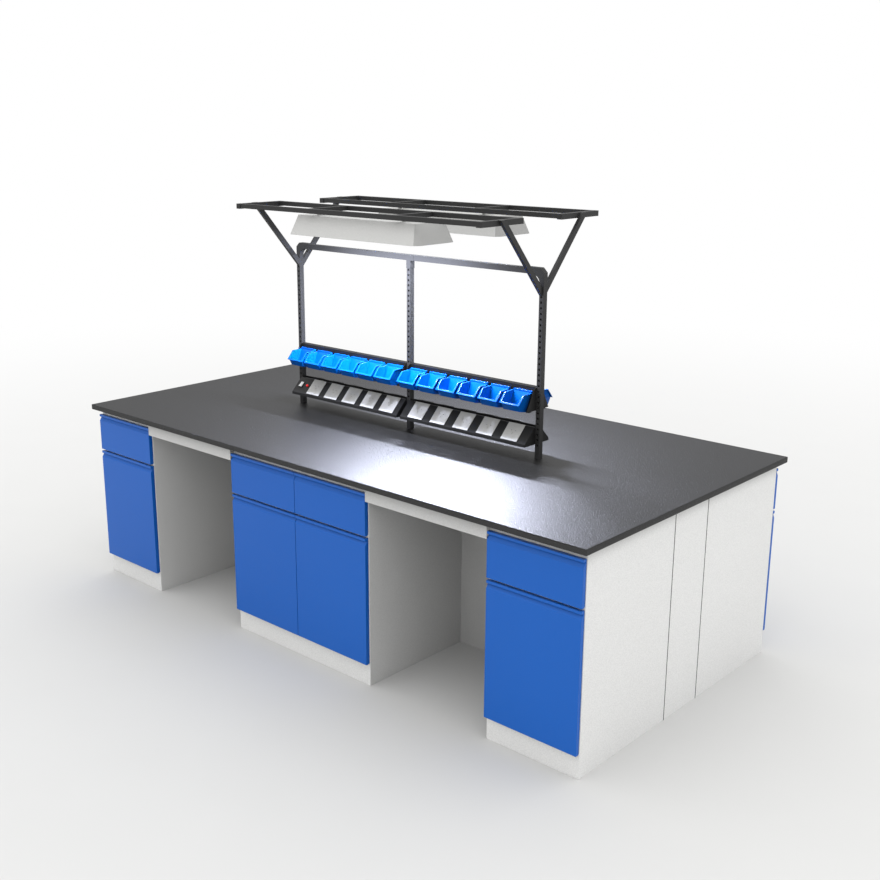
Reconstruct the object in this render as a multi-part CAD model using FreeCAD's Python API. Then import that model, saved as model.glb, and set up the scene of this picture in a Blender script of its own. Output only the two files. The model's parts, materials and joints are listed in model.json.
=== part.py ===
import FreeCAD, Part
import math
import os

from FreeCAD import Vector

# A double-sided laboratory bench: two rows of steel base cabinets stand back to back across a
# service void, under one worktop. A slotted rack on the worktop carries hanging bins, socket
# trunkings and two lamps. Lengths are millimetres. X runs along the bench, the front row faces
# -Y, and the origin is on the floor under the middle. Left and right are as seen by someone
# who stands in front of a row and looks at it, so the back row is the front row turned half round.

# ---- bench and worktop
bench_length = 3000.0
bench_width = 1500.0
bench_height = 900.0
worktop_thickness = 25.0
worktop_overhang = 25.0
worktop_arris = 1.5

# ---- base cabinets
single_cabinet_width = 425.0
middle_cabinet_width = 850.0
carcass_depth = 580.0
panel = 18.0
plinth_height = 100.0
top_rail_height = 35.0
divider_rail_height = 20.0
divider_rail_depth = 60.0
rear_rail_depth = 80.0

# ---- folded drawer and door fronts, with a pull lip along the top
front_thickness = 20.0
front_to_carcass = 0.5
side_reveal = 1.5
top_reveal = 27.0
drawer_front_height = 181.0
drawer_to_door = 10.0
outer_pan = 14.5
inner_pan_inset = 1.5
lip_height = 11.0
grip_height = 21.0
grip_depth = 13.0
fold_radius = 3.0

# ---- drawer boxes and their runners
drawer_wall = 12.0
drawer_bottom = 6.0
drawer_depth = 500.0
drawer_box_height = 120.0
drawer_box_lift = 18.0
runner_space = 12.7
runner_height = 35.0
runner_width = 10.0
runner_sheet = 1.5
runner_play = 0.4
runner_lift = 38.0
runner_setback = 5.0
runner_length = 500.0

# ---- concealed door hinges
hinge_inset = 100.0
pocket_width = 35.0
pocket_height = 46.0
pocket_depth = 11.0
pocket_edge_distance = 6.0
hinge_plate = 2.0
hinge_plate_height = 44.0
hinge_plate_depth = 45.0
hinge_arm_width = 10.0
hinge_arm_height = 14.0
hinge_arm_depth = 48.0
hinge_tip_reach = 26.0
hinge_tip_depth = 11.0

# ---- shelves in the cupboards
shelf_rise = 1.5
shelf_thickness = 18.0
shelf_setback = 30.0
shelf_play = 1.0
ledge = 10.0

# ---- panels of the knee spaces and the service void
apron_height = 59.0
apron_sheet = 1.5
apron_top_flange = 60.0
apron_bottom_flange = 20.0
apron_tab = 20.0
end_cover_gap = 2.0

# ---- rack
upright_spacing = 739.0
upright_width = 22.0
upright_depth = 25.0
upright_wall = 2.0
slot_size = 9.0
slot_pitch = 23.3
first_slot = 61.3
last_slot_margin = 24.0
beam_underside = 780.0
beam_height = 25.0
casting_reach = 75.0
casting_rise = 3.0
casting_chamfer = 20.0
casting_radius = 38.0
tee_reach = 30.0
tee_drop = 35.0
tee_wall = 1.5

# ---- lamp arms, ladder frames and lamps
tube = 20.0
ladder_level = 995.0
ladder_offset = 260.5
ladder_width = 265.0
end_rung_width = 25.0
end_rung_height = 23.0
end_cap = 3.0
inner_rung = 255.0
arm_thickness = 23.0
arm_width = 15.0
arm_root = 712.0
arm_head_offset = 258.0
lamp_length = 776.0
lamp_width = 256.0
lamp_height = 85.0
lamp_taper = 37.0
lamp_corner = 40.0
lamp_drop = 12.0
lamp_wall = 2.0
light_board_inset = 60.0
light_board_width = 24.0
light_board_thickness = 2.0
light_board_offset = 45.0
driver_length = 200.0
driver_width = 40.0
driver_height = 22.0
diffuser_margin = 14.0
diffuser_thickness = 6.0
strap_thickness = 3.0
strap_offset = 55.0

# ---- bin rails
end_plate = 2.0
end_plate_ear = 11.5
rail_sheet = 1.5
rail_bar_depth = 10.5
rail_bar_height = 14.0
rail_top = 311.0
rail_fold = 278.0
rail_foot = 208.0
rail_run = 43.0
rail_return = 17.0
gusset_shoulder = 300.0
gusset_shoulder_reach = 30.0
gusset_foot = 212.0
gusset_foot_reach = 76.0
tongue_width = 60.0
tongue_root = 265.0
tongue_standoff = 12.0

# ---- hanging bins
bins_per_bay = 6
bin_end_margin = 0.7
bin_gap = 14.6
bin_rim = 5.0
bin_rim_thickness = 3.0
bin_wall = 2.2
bin_draft = 3.5
bin_rim_level = 288.0
bin_rim_back = 18.0
bin_mouth_depth = 66.0
bin_mouth_fall = 2.0
bin_lip_reach = 34.0
bin_lip_fall = 40.0
bin_hook_drop = 12.0
bin_hook_thickness = 2.0
bin_wall_back = 27.0
bin_foot_level = 209.0
bin_foot_run = 30.0
bin_floor_depth = 41.0
bin_floor_rise = 8.0
hook_play = 0.4

# ---- socket trunkings
trunking_back = 14.5
trunking_top = 140.0
trunking_shelf = 5.0
trunking_slope = 90.0
trunking_foot = 64.0
trunking_nose = 0.9
trunking_wall = 2.0
trunking_seam = 0.5
trunking_ear_drop = 10.0
sockets_per_bay = 5
socket_size = 86.0
socket_thickness = 3.0
socket_pitch = 135.0
switched_socket_pitch = 125.0
switched_first_socket = 84.0
pin_width = 7.0
pin_height = 2.5
pin_depth = 2.0
pin_spread = 11.0
pin_rise = 7.0

# ---- rocker switch and pilot lamp
switch_offset = 694.0
switch_width = 20.0
switch_length = 29.0
switch_down_slope = 42.5
bezel_border = 2.0
bezel_height = 3.0
rocker_play = 0.4
rocker_pivot_height = 1.7
rocker_half_swing = 6.0
rocker_belly = 1.0
rocker_end_bottom = 0.6
rocker_end_top = 3.0
rocker_middle_top = 2.0
pilot_offset = 652.0
pilot_radius = 6.0
pilot_height = 5.0

# ---- what follows from the sizes above
worktop_underside = bench_height - worktop_thickness
end_x = bench_length / 2 - worktop_overhang
face_y = worktop_overhang - bench_width / 2
front_back_y = face_y + front_thickness
carcass_y = front_back_y + front_to_carcass
rear_y = carcass_y + carcass_depth
drawer_top = worktop_underside - top_reveal
drawer_foot = drawer_top - drawer_front_height
door_top = drawer_foot - drawer_to_door
shelf_level = (plinth_height + door_top) / 2 + shelf_rise
rack_front = -upright_depth / 2
bay_clear = upright_spacing - upright_width
bay_start = upright_width / 2
bin_pitch = (bay_clear - 2 * end_plate - 2 * bin_end_margin) / bins_per_bay
bin_width = bin_pitch - bin_gap
beam_foot = bench_height + beam_underside
ladder_underside = bench_height + ladder_level
ladder_top = ladder_underside + tube
ladder_half = upright_spacing - upright_width / 2
lamp_top = ladder_underside - lamp_drop
lamp_foot = lamp_top - lamp_height


# ---------------------------------------------------------------- shapes
def box(x0, x1, y0, y1, z0, z1):
    """A block between two corners, given in either order along X."""
    left, right = sorted((x0, x1))
    return Part.makeBox(right - left, y1 - y0, z1 - z0, Vector(left, y0, z0))


def prism_x(outline, x0, x1):
    """Extrude an outline of (y, z) points along X."""
    points = [Vector(x0, y, z) for y, z in outline]
    face = Part.Face(Part.makePolygon(points + points[:1]))
    return face.extrude(Vector(x1 - x0, 0, 0))


def prism_y(outline, y0, y1):
    """Extrude an outline of (x, z) points along Y."""
    points = [Vector(x, y0, z) for x, z in outline]
    face = Part.Face(Part.makePolygon(points + points[:1]))
    return face.extrude(Vector(0, y1 - y0, 0))


def fused(first, *others):
    """One solid made of pieces that meet, with no seams left on its flat faces."""
    return first.fuse(list(others)).removeSplitter()


def sheet_outline(path, thickness):
    """The closed outline of a folded sheet: a path of (a, b) points and its offset to the left."""
    def offset_line(start, end):
        length = math.hypot(end[0] - start[0], end[1] - start[1])
        normal = ((start[1] - end[1]) / length, (end[0] - start[0]) / length)
        shift = (normal[0] * thickness, normal[1] * thickness)
        return [(p[0] + shift[0], p[1] + shift[1]) for p in (start, end)]

    lines = [offset_line(a, b) for a, b in zip(path, path[1:])]
    offset = [lines[0][0]]
    for (a, b), (c, d) in zip(lines, lines[1:]):
        u = (b[0] - a[0], b[1] - a[1])
        v = (d[0] - c[0], d[1] - c[1])
        cross = u[0] * v[1] - u[1] * v[0]
        t = ((c[0] - a[0]) * v[1] - (c[1] - a[1]) * v[0]) / cross
        offset.append((a[0] + u[0] * t, a[1] + u[1] * t))
    offset.append(lines[-1][1])
    return list(path) + offset[::-1]


def edges_along_x(shape, places):
    """The edges of a shape that run along X through the given (y, z) places."""
    def runs_through(edge):
        a, b = edge.Vertexes[0].Point, edge.Vertexes[-1].Point
        level = abs(a.y - b.y) < 1e-6 and abs(a.z - b.z) < 1e-6
        return level and any(math.hypot(a.y - y, a.z - z) < 1e-4 for y, z in places)

    return [edge for edge in shape.Edges if len(edge.Vertexes) == 2 and runs_through(edge)]


def half_turn(shape):
    """The same piece on the back row: turned half round about the vertical."""
    turned = shape.copy()
    turned.rotate(Vector(0, 0, 0), Vector(0, 0, 1), 180)
    return turned


def on_row(row, solids):
    """Solids of the front row, placed on the row that is asked for."""
    return [half_turn(s) if row == "back" else s for s in solids]


def on_both_rows(solids):
    """Solids of the front row and their copies on the back row."""
    return solids + on_row("back", solids)


def save(name, solids):
    """Write one sub-part as a STEP file with one solid for each physical piece."""
    shape = solids[0] if len(solids) == 1 else Part.makeCompound(solids)
    shape.exportStep(f"parts/{name}.step")


# ---------------------------------------------------------------- layout of the cabinets
class Bay:
    """One drawer above one cupboard: its outer edges, its clear width and its hinge side."""

    def __init__(self, name, outer, inner, hinge_side):
        self.name = name
        self.x0, self.x1 = outer
        self.inner0, self.inner1 = inner
        self.hinge_side = hinge_side
        self.front0 = self.x0 + side_reveal
        self.front1 = self.x1 - side_reveal


def cabinet_bays():
    """The four bays of one row, left to right; the middle cabinet holds two of them."""
    single = single_cabinet_width
    middle = middle_cabinet_width / 2
    left_inner = (-end_x + panel, -end_x + single - panel)
    right_inner = (end_x - single + panel, end_x - panel)
    return [
        Bay("left", (-end_x, -end_x + single), left_inner, "left"),
        Bay("middle_left", (-middle, 0), (-middle + panel, -panel / 2), "left"),
        Bay("middle_right", (0, middle), (panel / 2, middle - panel), "right"),
        Bay("right", (end_x - single, end_x), right_inner, "right"),
    ]


def knee_spaces():
    """The clear X range of the two knee spaces of one row."""
    edge = middle_cabinet_width / 2
    far = end_x - single_cabinet_width
    return [(-far, -edge), (edge, far)]


# ---------------------------------------------------------------- worktop and cabinets
def worktop():
    """One slab over the whole bench, with a small arris round its top."""
    slab = box(-bench_length / 2, bench_length / 2, -bench_width / 2, bench_width / 2,
               worktop_underside, bench_height)
    top_edges = [e for e in slab.Edges if min(v.Z for v in e.Vertexes) > bench_height - 1e-6]
    return slab.makeChamfer(worktop_arris, top_edges)


def cabinet_shell(x0, x1, bays):
    """Side, back, floor and plinth panels of one cabinet, with the rails round its openings."""
    inner0, inner1 = x0 + panel, x1 - panel
    back_y = rear_y - panel
    pieces = [
        box(x0, inner0, carcass_y, rear_y, 0, worktop_underside),
        box(inner1, x1, carcass_y, rear_y, 0, worktop_underside),
        box(inner0, inner1, back_y, rear_y, 0, worktop_underside),
        box(inner0, inner1, carcass_y, back_y, plinth_height, plinth_height + panel),
        box(inner0, inner1, carcass_y, carcass_y + panel, 0, plinth_height),
    ]
    divider_top = drawer_foot + (divider_rail_height - drawer_to_door) / 2
    for bay in bays:
        pieces += [
            box(bay.inner0, bay.inner1, carcass_y, carcass_y + panel,
                worktop_underside - top_rail_height, worktop_underside),
            box(bay.inner0, bay.inner1, carcass_y, carcass_y + divider_rail_depth,
                divider_top - divider_rail_height, divider_top),
            box(bay.inner0, bay.inner1, back_y - rear_rail_depth, back_y,
                worktop_underside - panel, worktop_underside),
        ]
    for left, right in zip(bays, bays[1:]):
        pieces.append(box(left.inner1, right.inner0, carcass_y, back_y,
                          plinth_height + panel, worktop_underside))
    return pieces


def cabinet_shells():
    """The panels of the left, middle and right cabinet of the front row."""
    left, middle_left, middle_right, right = cabinet_bays()
    pieces = cabinet_shell(left.x0, left.x1, [left])
    pieces += cabinet_shell(middle_left.x0, middle_right.x1, [middle_left, middle_right])
    pieces += cabinet_shell(right.x0, right.x1, [right])
    return pieces


def shelf_with_ledges(bay):
    """A loose shelf and the two ledges on the cabinet sides that it rests on."""
    y0 = carcass_y + shelf_setback
    y1 = rear_y - panel - shelf_play
    return [
        box(bay.inner0 + shelf_play, bay.inner1 - shelf_play, y0, y1,
            shelf_level, shelf_level + shelf_thickness),
        box(bay.inner0, bay.inner0 + ledge, y0, y1, shelf_level - ledge, shelf_level),
        box(bay.inner1 - ledge, bay.inner1, y0, y1, shelf_level - ledge, shelf_level),
    ]


def apron(x0, x1):
    """The folded strip over a knee space, with a tab at each end against the cabinet side."""
    bottom = worktop_underside - apron_height
    path = [
        (face_y + apron_top_flange, worktop_underside),
        (face_y, worktop_underside),
        (face_y, bottom),
        (face_y + apron_bottom_flange, bottom),
    ]
    strip = prism_x(sheet_outline(path, apron_sheet), x0, x1)
    tab_y = face_y + apron_top_flange - apron_tab
    tabs = [box(x, x + side * apron_sheet, tab_y, tab_y + apron_tab, bottom, worktop_underside)
            for x, side in ((x0, 1), (x1, -1))]
    return fused(strip, *tabs)


def knee_space_panels():
    """The apron over each knee space and the panel that closes it at the back."""
    pieces = []
    for x0, x1 in knee_spaces():
        pieces.append(apron(x0, x1))
        pieces.append(box(x0 - panel, x1 + panel, rear_y, rear_y + panel, 0, worktop_underside))
    return pieces


def void_end_covers():
    """The covers over both ends of the service void between the two rows."""
    half = -rear_y - end_cover_gap
    return [box(side * end_x, side * (end_x - panel), -half, half, 0, worktop_underside)
            for side in (-1, 1)]


# ---------------------------------------------------------------- drawers and doors
def folded_front(x0, x1, z0, z1):
    """A front folded from an outer and an inner pan. Along its top the sheet is folded in under
    a pull lip and slopes back out to the face, which leaves a grip groove across the front."""
    grip_top = z1 - lip_height
    grip_foot = grip_top - grip_height
    pan_y = face_y + outer_pan
    outline = [
        (face_y, z0),
        (face_y, grip_foot),
        (face_y + grip_depth, grip_top),
        (face_y, grip_top),
        (face_y, z1),
        (pan_y, z1),
        (pan_y, z1 - inner_pan_inset),
        (front_back_y, z1 - inner_pan_inset),
        (front_back_y, z0 + inner_pan_inset),
        (pan_y, z0 + inner_pan_inset),
        (pan_y, z0),
    ]
    front = prism_x(outline, x0, x1)
    for edge, side in ((x0, 1), (x1, -1)):
        front = front.cut(box(edge, edge + side * inner_pan_inset, pan_y, front_back_y, z0, z1))
    return front.makeFillet(fold_radius, edges_along_x(front, [(face_y, grip_foot)]))


def runner_section(wall_x, side, width, height, level):
    """The (x, z) outline of a channel whose web lies on a wall and which opens to one side."""
    half = height / 2
    path = [
        (wall_x + side * width, level - half),
        (wall_x, level - half),
        (wall_x, level + half),
        (wall_x + side * width, level + half),
    ]
    return sheet_outline(path, -side * runner_sheet)


def runner_level():
    return drawer_foot + drawer_box_lift + runner_lift


def cabinet_runners(bay):
    """The two outer runner channels that are screwed to the cabinet sides."""
    y0 = carcass_y + runner_setback
    return [prism_y(runner_section(wall, side, runner_width, runner_height, runner_level()),
                    y0, y0 + runner_length)
            for wall, side in ((bay.inner0, 1), (bay.inner1, -1))]


def drawer_runners(x0, x1):
    """The two inner runner channels, screwed to the drawer and nested in the outer ones."""
    height = runner_height - 2 * runner_sheet - 2 * runner_play
    y0 = carcass_y + runner_setback
    return [prism_y(runner_section(wall, side, runner_width, height, runner_level()),
                    y0, front_back_y + drawer_depth)
            for wall, side in ((x0, -1), (x1, 1))]


def drawer(bay):
    """A folded front, the open box behind it and the inner channels of its runners."""
    x0, x1 = bay.inner0 + runner_space, bay.inner1 - runner_space
    y0, y1 = front_back_y, front_back_y + drawer_depth
    z0 = drawer_foot + drawer_box_lift
    z1 = z0 + drawer_box_height
    wall = drawer_wall
    box_panels = [
        box(x0, x1, y0, y0 + wall, z0, z1),
        box(x0, x1, y1 - wall, y1, z0, z1),
        box(x0, x0 + wall, y0 + wall, y1 - wall, z0, z1),
        box(x1 - wall, x1, y0 + wall, y1 - wall, z0, z1),
        box(x0 + wall, x1 - wall, y0 + wall, y1 - wall, z0, z0 + drawer_bottom),
    ]
    front = folded_front(bay.front0, bay.front1, drawer_foot, drawer_top)
    return [front] + box_panels + drawer_runners(x0, x1)


def hinge_levels():
    return [plinth_height + hinge_inset, door_top - hinge_inset]


def door(bay):
    """A folded front with two hinge pockets punched in its back."""
    front = folded_front(bay.front0, bay.front1, plinth_height, door_top)
    edge, side = (bay.front0, 1) if bay.hinge_side == "left" else (bay.front1, -1)
    near = edge + side * pocket_edge_distance
    pockets = [box(near, near + side * pocket_width, front_back_y - pocket_depth, front_back_y,
                   level - pocket_height / 2, level + pocket_height / 2)
               for level in hinge_levels()]
    return [front.cut(pockets)]


def hinge_arms(bay):
    """The plates and arms of a door's hinges, on the cabinet side, with the tip at the pocket."""
    wall, side = (bay.inner0, 1) if bay.hinge_side == "left" else (bay.inner1, -1)
    arms = []
    for level in hinge_levels():
        half_plate, half_arm = hinge_plate_height / 2, hinge_arm_height / 2
        plate_y = carcass_y + hinge_arm_depth - hinge_plate_depth
        arm_x = wall + side * (hinge_plate + hinge_arm_width)
        arms.append(fused(
            box(wall, wall + side * hinge_plate, plate_y, plate_y + hinge_plate_depth,
                level - half_plate, level + half_plate),
            box(wall + side * hinge_plate, arm_x, carcass_y, carcass_y + hinge_arm_depth,
                level - half_arm, level + half_arm),
            box(arm_x, wall + side * hinge_tip_reach, carcass_y, carcass_y + hinge_tip_depth,
                level - half_arm, level + half_arm),
        ))
    return arms


# ---------------------------------------------------------------- rack
def upright(x, top):
    """A square tube on the worktop with a column of slots through its front and back walls."""
    half = upright_width / 2
    wall = upright_wall
    outer = box(x - half, x + half, rack_front, -rack_front, bench_height, top)
    bore = box(x - half + wall, x + half - wall, rack_front + wall, -rack_front - wall,
               bench_height, top)
    slots = []
    level = bench_height + first_slot
    while level + slot_size / 2 < top - last_slot_margin:
        slots.append(box(x - slot_size / 2, x + slot_size / 2, rack_front, -rack_front,
                         level - slot_size / 2, level + slot_size / 2))
        level += slot_pitch
    return outer.cut([bore] + slots)


def rack_uprights():
    """The middle upright stands in a tee; the outer two end under the corner castings."""
    outer_top = beam_foot - casting_radius
    return [upright(-upright_spacing, outer_top), upright(0, beam_foot),
            upright(upright_spacing, outer_top)]


def corner_casting(side):
    """A corner with a chamfer outside and a large radius inside, over an outer upright."""
    foot = beam_foot
    top = foot + beam_height + casting_rise
    inner = upright_spacing - upright_width / 2
    outer = upright_spacing + upright_width / 2
    start = outer - casting_reach - casting_chamfer / 2
    blank = prism_y([
        (side * start, foot - casting_radius), (side * outer, foot - casting_radius),
        (side * outer, top - casting_chamfer), (side * (outer - casting_chamfer), top),
        (side * start, top)], rack_front, -rack_front)
    below = box(side * start, side * (inner - casting_radius), rack_front, -rack_front,
                foot - casting_radius, foot)
    hollow = Part.makeCylinder(casting_radius, upright_depth,
                               Vector(side * (inner - casting_radius), rack_front,
                                      foot - casting_radius), Vector(0, 1, 0))
    return blank.cut([below, hollow])


def tee_casting():
    """A tee between the two halves of the beam, with a sleeve down over the middle upright."""
    half, depth = upright_width / 2 + tee_wall, -rack_front + tee_wall
    head = box(-tee_reach, tee_reach, -depth, depth, beam_foot, beam_foot + beam_height)
    sleeve = box(-half, half, -depth, depth, beam_foot - tee_drop, beam_foot)
    bore = box(-upright_width / 2, upright_width / 2, rack_front, -rack_front,
               beam_foot - tee_drop, beam_foot)
    return head.fuse(sleeve.cut(bore)).removeSplitter()


def rack_top_beam():
    """Two lengths of beam along the top of the rack, the tee between them and a casting at
    each end."""
    start = upright_spacing + upright_width / 2 - casting_reach - casting_chamfer / 2
    beams = [box(x0, x1, rack_front, -rack_front, beam_foot, beam_foot + beam_height)
             for x0, x1 in ((-start, -tee_reach), (tee_reach, start))]
    return beams + [tee_casting(), corner_casting(-1), corner_casting(1)]


def lamp_arms():
    """The arms that rise from the front of the outer uprights, past the ends of the ladder
    frame, to its top."""
    rise = ladder_level - arm_root
    run = arm_head_offset + rack_front
    lean = math.atan2(run, rise)
    root_half = arm_thickness / math.sin(lean) / 2
    head_half = arm_thickness / math.cos(lean) / 2
    root = bench_height + arm_root
    head = arm_head_offset + tube * math.tan(lean)
    outline = [
        (rack_front, root - root_half),
        (rack_front, root + root_half),
        (-head + head_half, ladder_top),
        (-head - head_half, ladder_top),
    ]
    return [prism_x(outline, *sorted((side * ladder_half, side * (ladder_half + arm_width))))
            for side in (-1, 1)]


def ladder_edges():
    """The Y of the outer faces of a ladder frame, the one by the rack first."""
    return ladder_width / 2 - ladder_offset, -ladder_width / 2 - ladder_offset


def ladder_frame():
    """Two end rungs, two long tubes between them and two inner rungs, level over one side."""
    near, far = ladder_edges()
    inside = ladder_half - end_rung_width
    tubes = []
    for side in (-1, 1):
        tubes.append(box(side * inside, side * ladder_half, far + end_cap, near - end_cap,
                         ladder_top - end_rung_height, ladder_top))
        x = side * inner_rung
        tubes.append(box(x - tube / 2, x + tube / 2, far + end_cap + tube, near - end_cap - tube,
                         ladder_underside, ladder_top))
    for y in (far + end_cap, near - end_cap - tube):
        tubes.append(box(-inside, inside, y, y + tube, ladder_underside, ladder_top))
    return tubes


def ladder_caps():
    """The plastic caps on the ends of the end rungs."""
    near, far = ladder_edges()
    return [box(side * (ladder_half - end_rung_width), side * ladder_half, y, y + end_cap,
                ladder_top - end_rung_height, ladder_top)
            for side in (-1, 1) for y in (far, near - end_cap)]


def lamp_prisms(inset, foot, top):
    """Two crossed prisms that fill a shade from its foot to its top, short of its corners."""
    x, y = lamp_length / 2 - inset, lamp_width / 2 - inset
    slope = lamp_taper / lamp_height
    low, high = slope * (foot - lamp_foot), slope * (top - lamp_foot)
    end = [(-x + low, foot), (x - low, foot), (x - high, top), (high - x, top)]
    side = [(-y + low, foot), (y - low, foot), (y - high, top), (high - y, top)]
    corner_x, corner_y = lamp_length / 2 - lamp_corner, lamp_width / 2 - lamp_corner
    return prism_y(end, -corner_y, corner_y), prism_x(side, -corner_x, corner_x)


def lamp_shade():
    """A hollow shade whose sides slope in to the top, let in below for the diffuser."""
    corner_x, corner_y = lamp_length / 2 - lamp_corner, lamp_width / 2 - lamp_corner
    corners = [Part.makeCone(lamp_corner, lamp_corner - lamp_taper, lamp_height,
                             Vector(sx * corner_x, sy * corner_y, lamp_foot))
               for sx in (-1, 1) for sy in (-1, 1)]
    shade = fused(*lamp_prisms(0, lamp_foot, lamp_top), *corners)
    hollow = fused(*lamp_prisms(lamp_wall, lamp_foot + diffuser_thickness, lamp_top - lamp_wall))
    shade = shade.cut(hollow)
    shade.translate(Vector(0, -ladder_offset, 0))
    return shade.cut(lamp_diffuser())


def lamp_housing():
    """A shade, the light boards and the driver under its top, and the straps that hang it
    from the rungs."""
    ceiling = lamp_top - lamp_wall
    board_x = lamp_length / 2 - lamp_taper - light_board_inset
    pieces = [lamp_shade()]
    for offset in (-light_board_offset, light_board_offset):
        y = offset - ladder_offset
        pieces.append(box(-board_x, board_x, y - light_board_width / 2, y + light_board_width / 2,
                          ceiling - light_board_thickness, ceiling))
    pieces.append(box(-driver_length / 2, driver_length / 2, -ladder_offset - driver_width / 2,
                      -ladder_offset + driver_width / 2, ceiling - driver_height, ceiling))
    for x in (-inner_rung, inner_rung):
        for y in (-ladder_offset - strap_offset, -ladder_offset + strap_offset):
            pieces.append(box(x - tube / 2, x + tube / 2, y, y + strap_thickness,
                              lamp_top, ladder_underside))
    return pieces


def lamp_diffuser():
    """The opal panel that closes the underside of a lamp."""
    x = lamp_length / 2 - diffuser_margin
    y = lamp_width / 2 - diffuser_margin
    return box(-x, x, -ladder_offset - y, -ladder_offset + y,
               lamp_foot, lamp_foot + diffuser_thickness)


# ---------------------------------------------------------------- bin rails and bins
def bay_starts():
    """The X at which the left and the right rack bay begin, between the uprights."""
    return [-upright_spacing + bay_start, bay_start]


def bin_centres():
    """The X of each hanging bin, left to right over both bays."""
    first = end_plate + bin_end_margin + bin_pitch / 2
    return [start + first + bin_pitch * i for start in bay_starts() for i in range(bins_per_bay)]


def rail_path():
    """The front surface of a rail: a flange on its bar, a sloping louvre panel and a return."""
    front = rack_front - rail_sheet
    foot = bench_height + rail_foot
    return [
        (front, bench_height + rail_top),
        (front, bench_height + rail_fold),
        (front - rail_run, foot),
        (front - rail_run + rail_return, foot),
    ]


def louvre_tongue(x):
    """A tongue that stands off the panel and points up, for the hook of a bin."""
    (_, _), (fold_y, fold_z), (foot_y, foot_z), (_, _) = rail_path()
    root_z = bench_height + tongue_root
    root_y = fold_y + (fold_z - root_z) * (foot_y - fold_y) / (fold_z - foot_z)
    tip_z = bench_height + bin_rim_level - bin_rim_thickness - hook_play
    tongue_y = rack_front - tongue_standoff
    path = [(root_y + rail_sheet / 2, root_z), (tongue_y, root_z), (tongue_y, tip_z)]
    outline = sheet_outline(path, -rail_sheet)
    return prism_x(outline, x - tongue_width / 2, x + tongue_width / 2)


def gusset(x0, x1):
    """An end plate of a rail, with an ear that is screwed to the side of the upright."""
    front = rack_front - rail_sheet
    outline = [
        (rack_front + end_plate_ear, bench_height + rail_top),
        (front, bench_height + rail_top),
        (-gusset_shoulder_reach, bench_height + gusset_shoulder),
        (-gusset_foot_reach, bench_height + gusset_foot),
        (rack_front + end_plate_ear, bench_height + gusset_foot),
    ]
    return prism_x(outline, x0, x1)


def bin_rail(start):
    """One bay of louvred rail: its bar, the folded panel with a tongue per bin, two gussets."""
    x0, x1 = start + end_plate, start + bay_clear - end_plate
    top = bench_height + rail_top
    bar = box(x0, x1, rack_front, rack_front + rail_bar_depth, top - rail_bar_height, top)
    panel_sheet = prism_x(sheet_outline(rail_path(), rail_sheet), x0, x1)
    tongues = [louvre_tongue(x) for x in bin_centres() if x0 < x < x1]
    return [
        bar,
        fused(panel_sheet, *tongues),
        gusset(start, x0),
        gusset(x1, start + bay_clear),
    ]


def bin_side_outlines():
    """Side outlines of a bin: its bent rim, the body under the rim, and the hollow of the body."""
    rim_z = bench_height + bin_rim_level
    back_y = -bin_rim_back
    knee = (back_y - bin_mouth_depth, rim_z - bin_mouth_fall)
    lip = (knee[0] - bin_lip_reach, knee[1] - bin_lip_fall)
    rim = sheet_outline([(back_y, rim_z), knee, lip], bin_rim_thickness)
    foot_z = bench_height + bin_foot_level
    foot_back = (-bin_wall_back - bin_foot_run, foot_z)
    foot_front = (foot_back[0] - bin_floor_depth, foot_z + bin_floor_rise)
    lip_inner = (lip[0] + bin_rim, lip[1])
    body = [(-bin_wall_back, rim_z - bin_rim_thickness), foot_back, foot_front, lip_inner,
            (knee[0], knee[1] - bin_rim_thickness)]
    above = rim_z + bin_lip_fall
    walls = sheet_outline([body[0], foot_back, foot_front, lip_inner], -bin_wall)[:3:-1]
    rear, front = walls[:2], walls[2:]
    hollow = [extend(rear[1], rear[0], above), rear[1], front[0], extend(front[0], front[1], above)]
    return rim, body, hollow


def extend(start, end, level):
    """The point at a level on the line through two (y, z) points."""
    share = (level - start[1]) / (end[1] - start[1])
    return (start[0] + (end[0] - start[0]) * share, level)


def tapered_slab(x, foot_half, rim_half, foot_z, rim_z, y0, y1):
    """A block that is as wide as the bin at each height, for cutting its sloping sides."""
    return prism_y([(x - foot_half, foot_z), (x + foot_half, foot_z), (x + rim_half, rim_z),
                    (x - rim_half, rim_z)], y0, y1)


def hanging_bin(x):
    """A moulded open-fronted bin: drafted walls, a bent rim and a hook behind its back wall."""
    rim_outline, body_outline, hollow_outline = bin_side_outlines()
    half = bin_width / 2
    reach = [y for y, _ in rim_outline + body_outline + hollow_outline]
    y0, y1 = min(reach) - 1, max(reach) + 1
    rim_z = bench_height + bin_rim_level
    foot_z = bench_height + bin_foot_level
    rise = rim_z - foot_z
    above = rim_z + bin_lip_fall
    top_half = half - bin_rim
    foot_half = top_half - bin_draft
    draft = bin_draft / rise * (above - rim_z)
    body = prism_x(body_outline, x - half, x + half)
    body = body.common(tapered_slab(x, foot_half, top_half + draft, foot_z, above, y0, y1))
    rim = prism_x(rim_outline, x - half, x + half)
    hook = box(x - tongue_width / 2, x + tongue_width / 2, -bin_rim_back - bin_hook_thickness,
               -bin_rim_back, rim_z - bin_hook_drop, rim_z)
    hollow = prism_x(hollow_outline, x - half, x + half)
    hollow = hollow.common(tapered_slab(x, foot_half - bin_wall, top_half + draft - bin_wall,
                                        foot_z, above, y0, y1))
    return fused(body, rim, hook).cut(hollow)


# ---------------------------------------------------------------- sockets, switch, pilot lamp
def trunking_outline():
    """The end outline of a trunking, from the foot of its back round over the sloping face."""
    top = bench_height + trunking_top
    foot = bench_height + trunking_foot
    slope_y = -trunking_back - trunking_shelf
    step = trunking_slope * math.sin(math.radians(45))
    return [
        (-trunking_back, foot),
        (-trunking_back, top),
        (slope_y, top),
        (slope_y - step, top - step),
        (slope_y - step - trunking_nose, foot),
    ]


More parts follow.
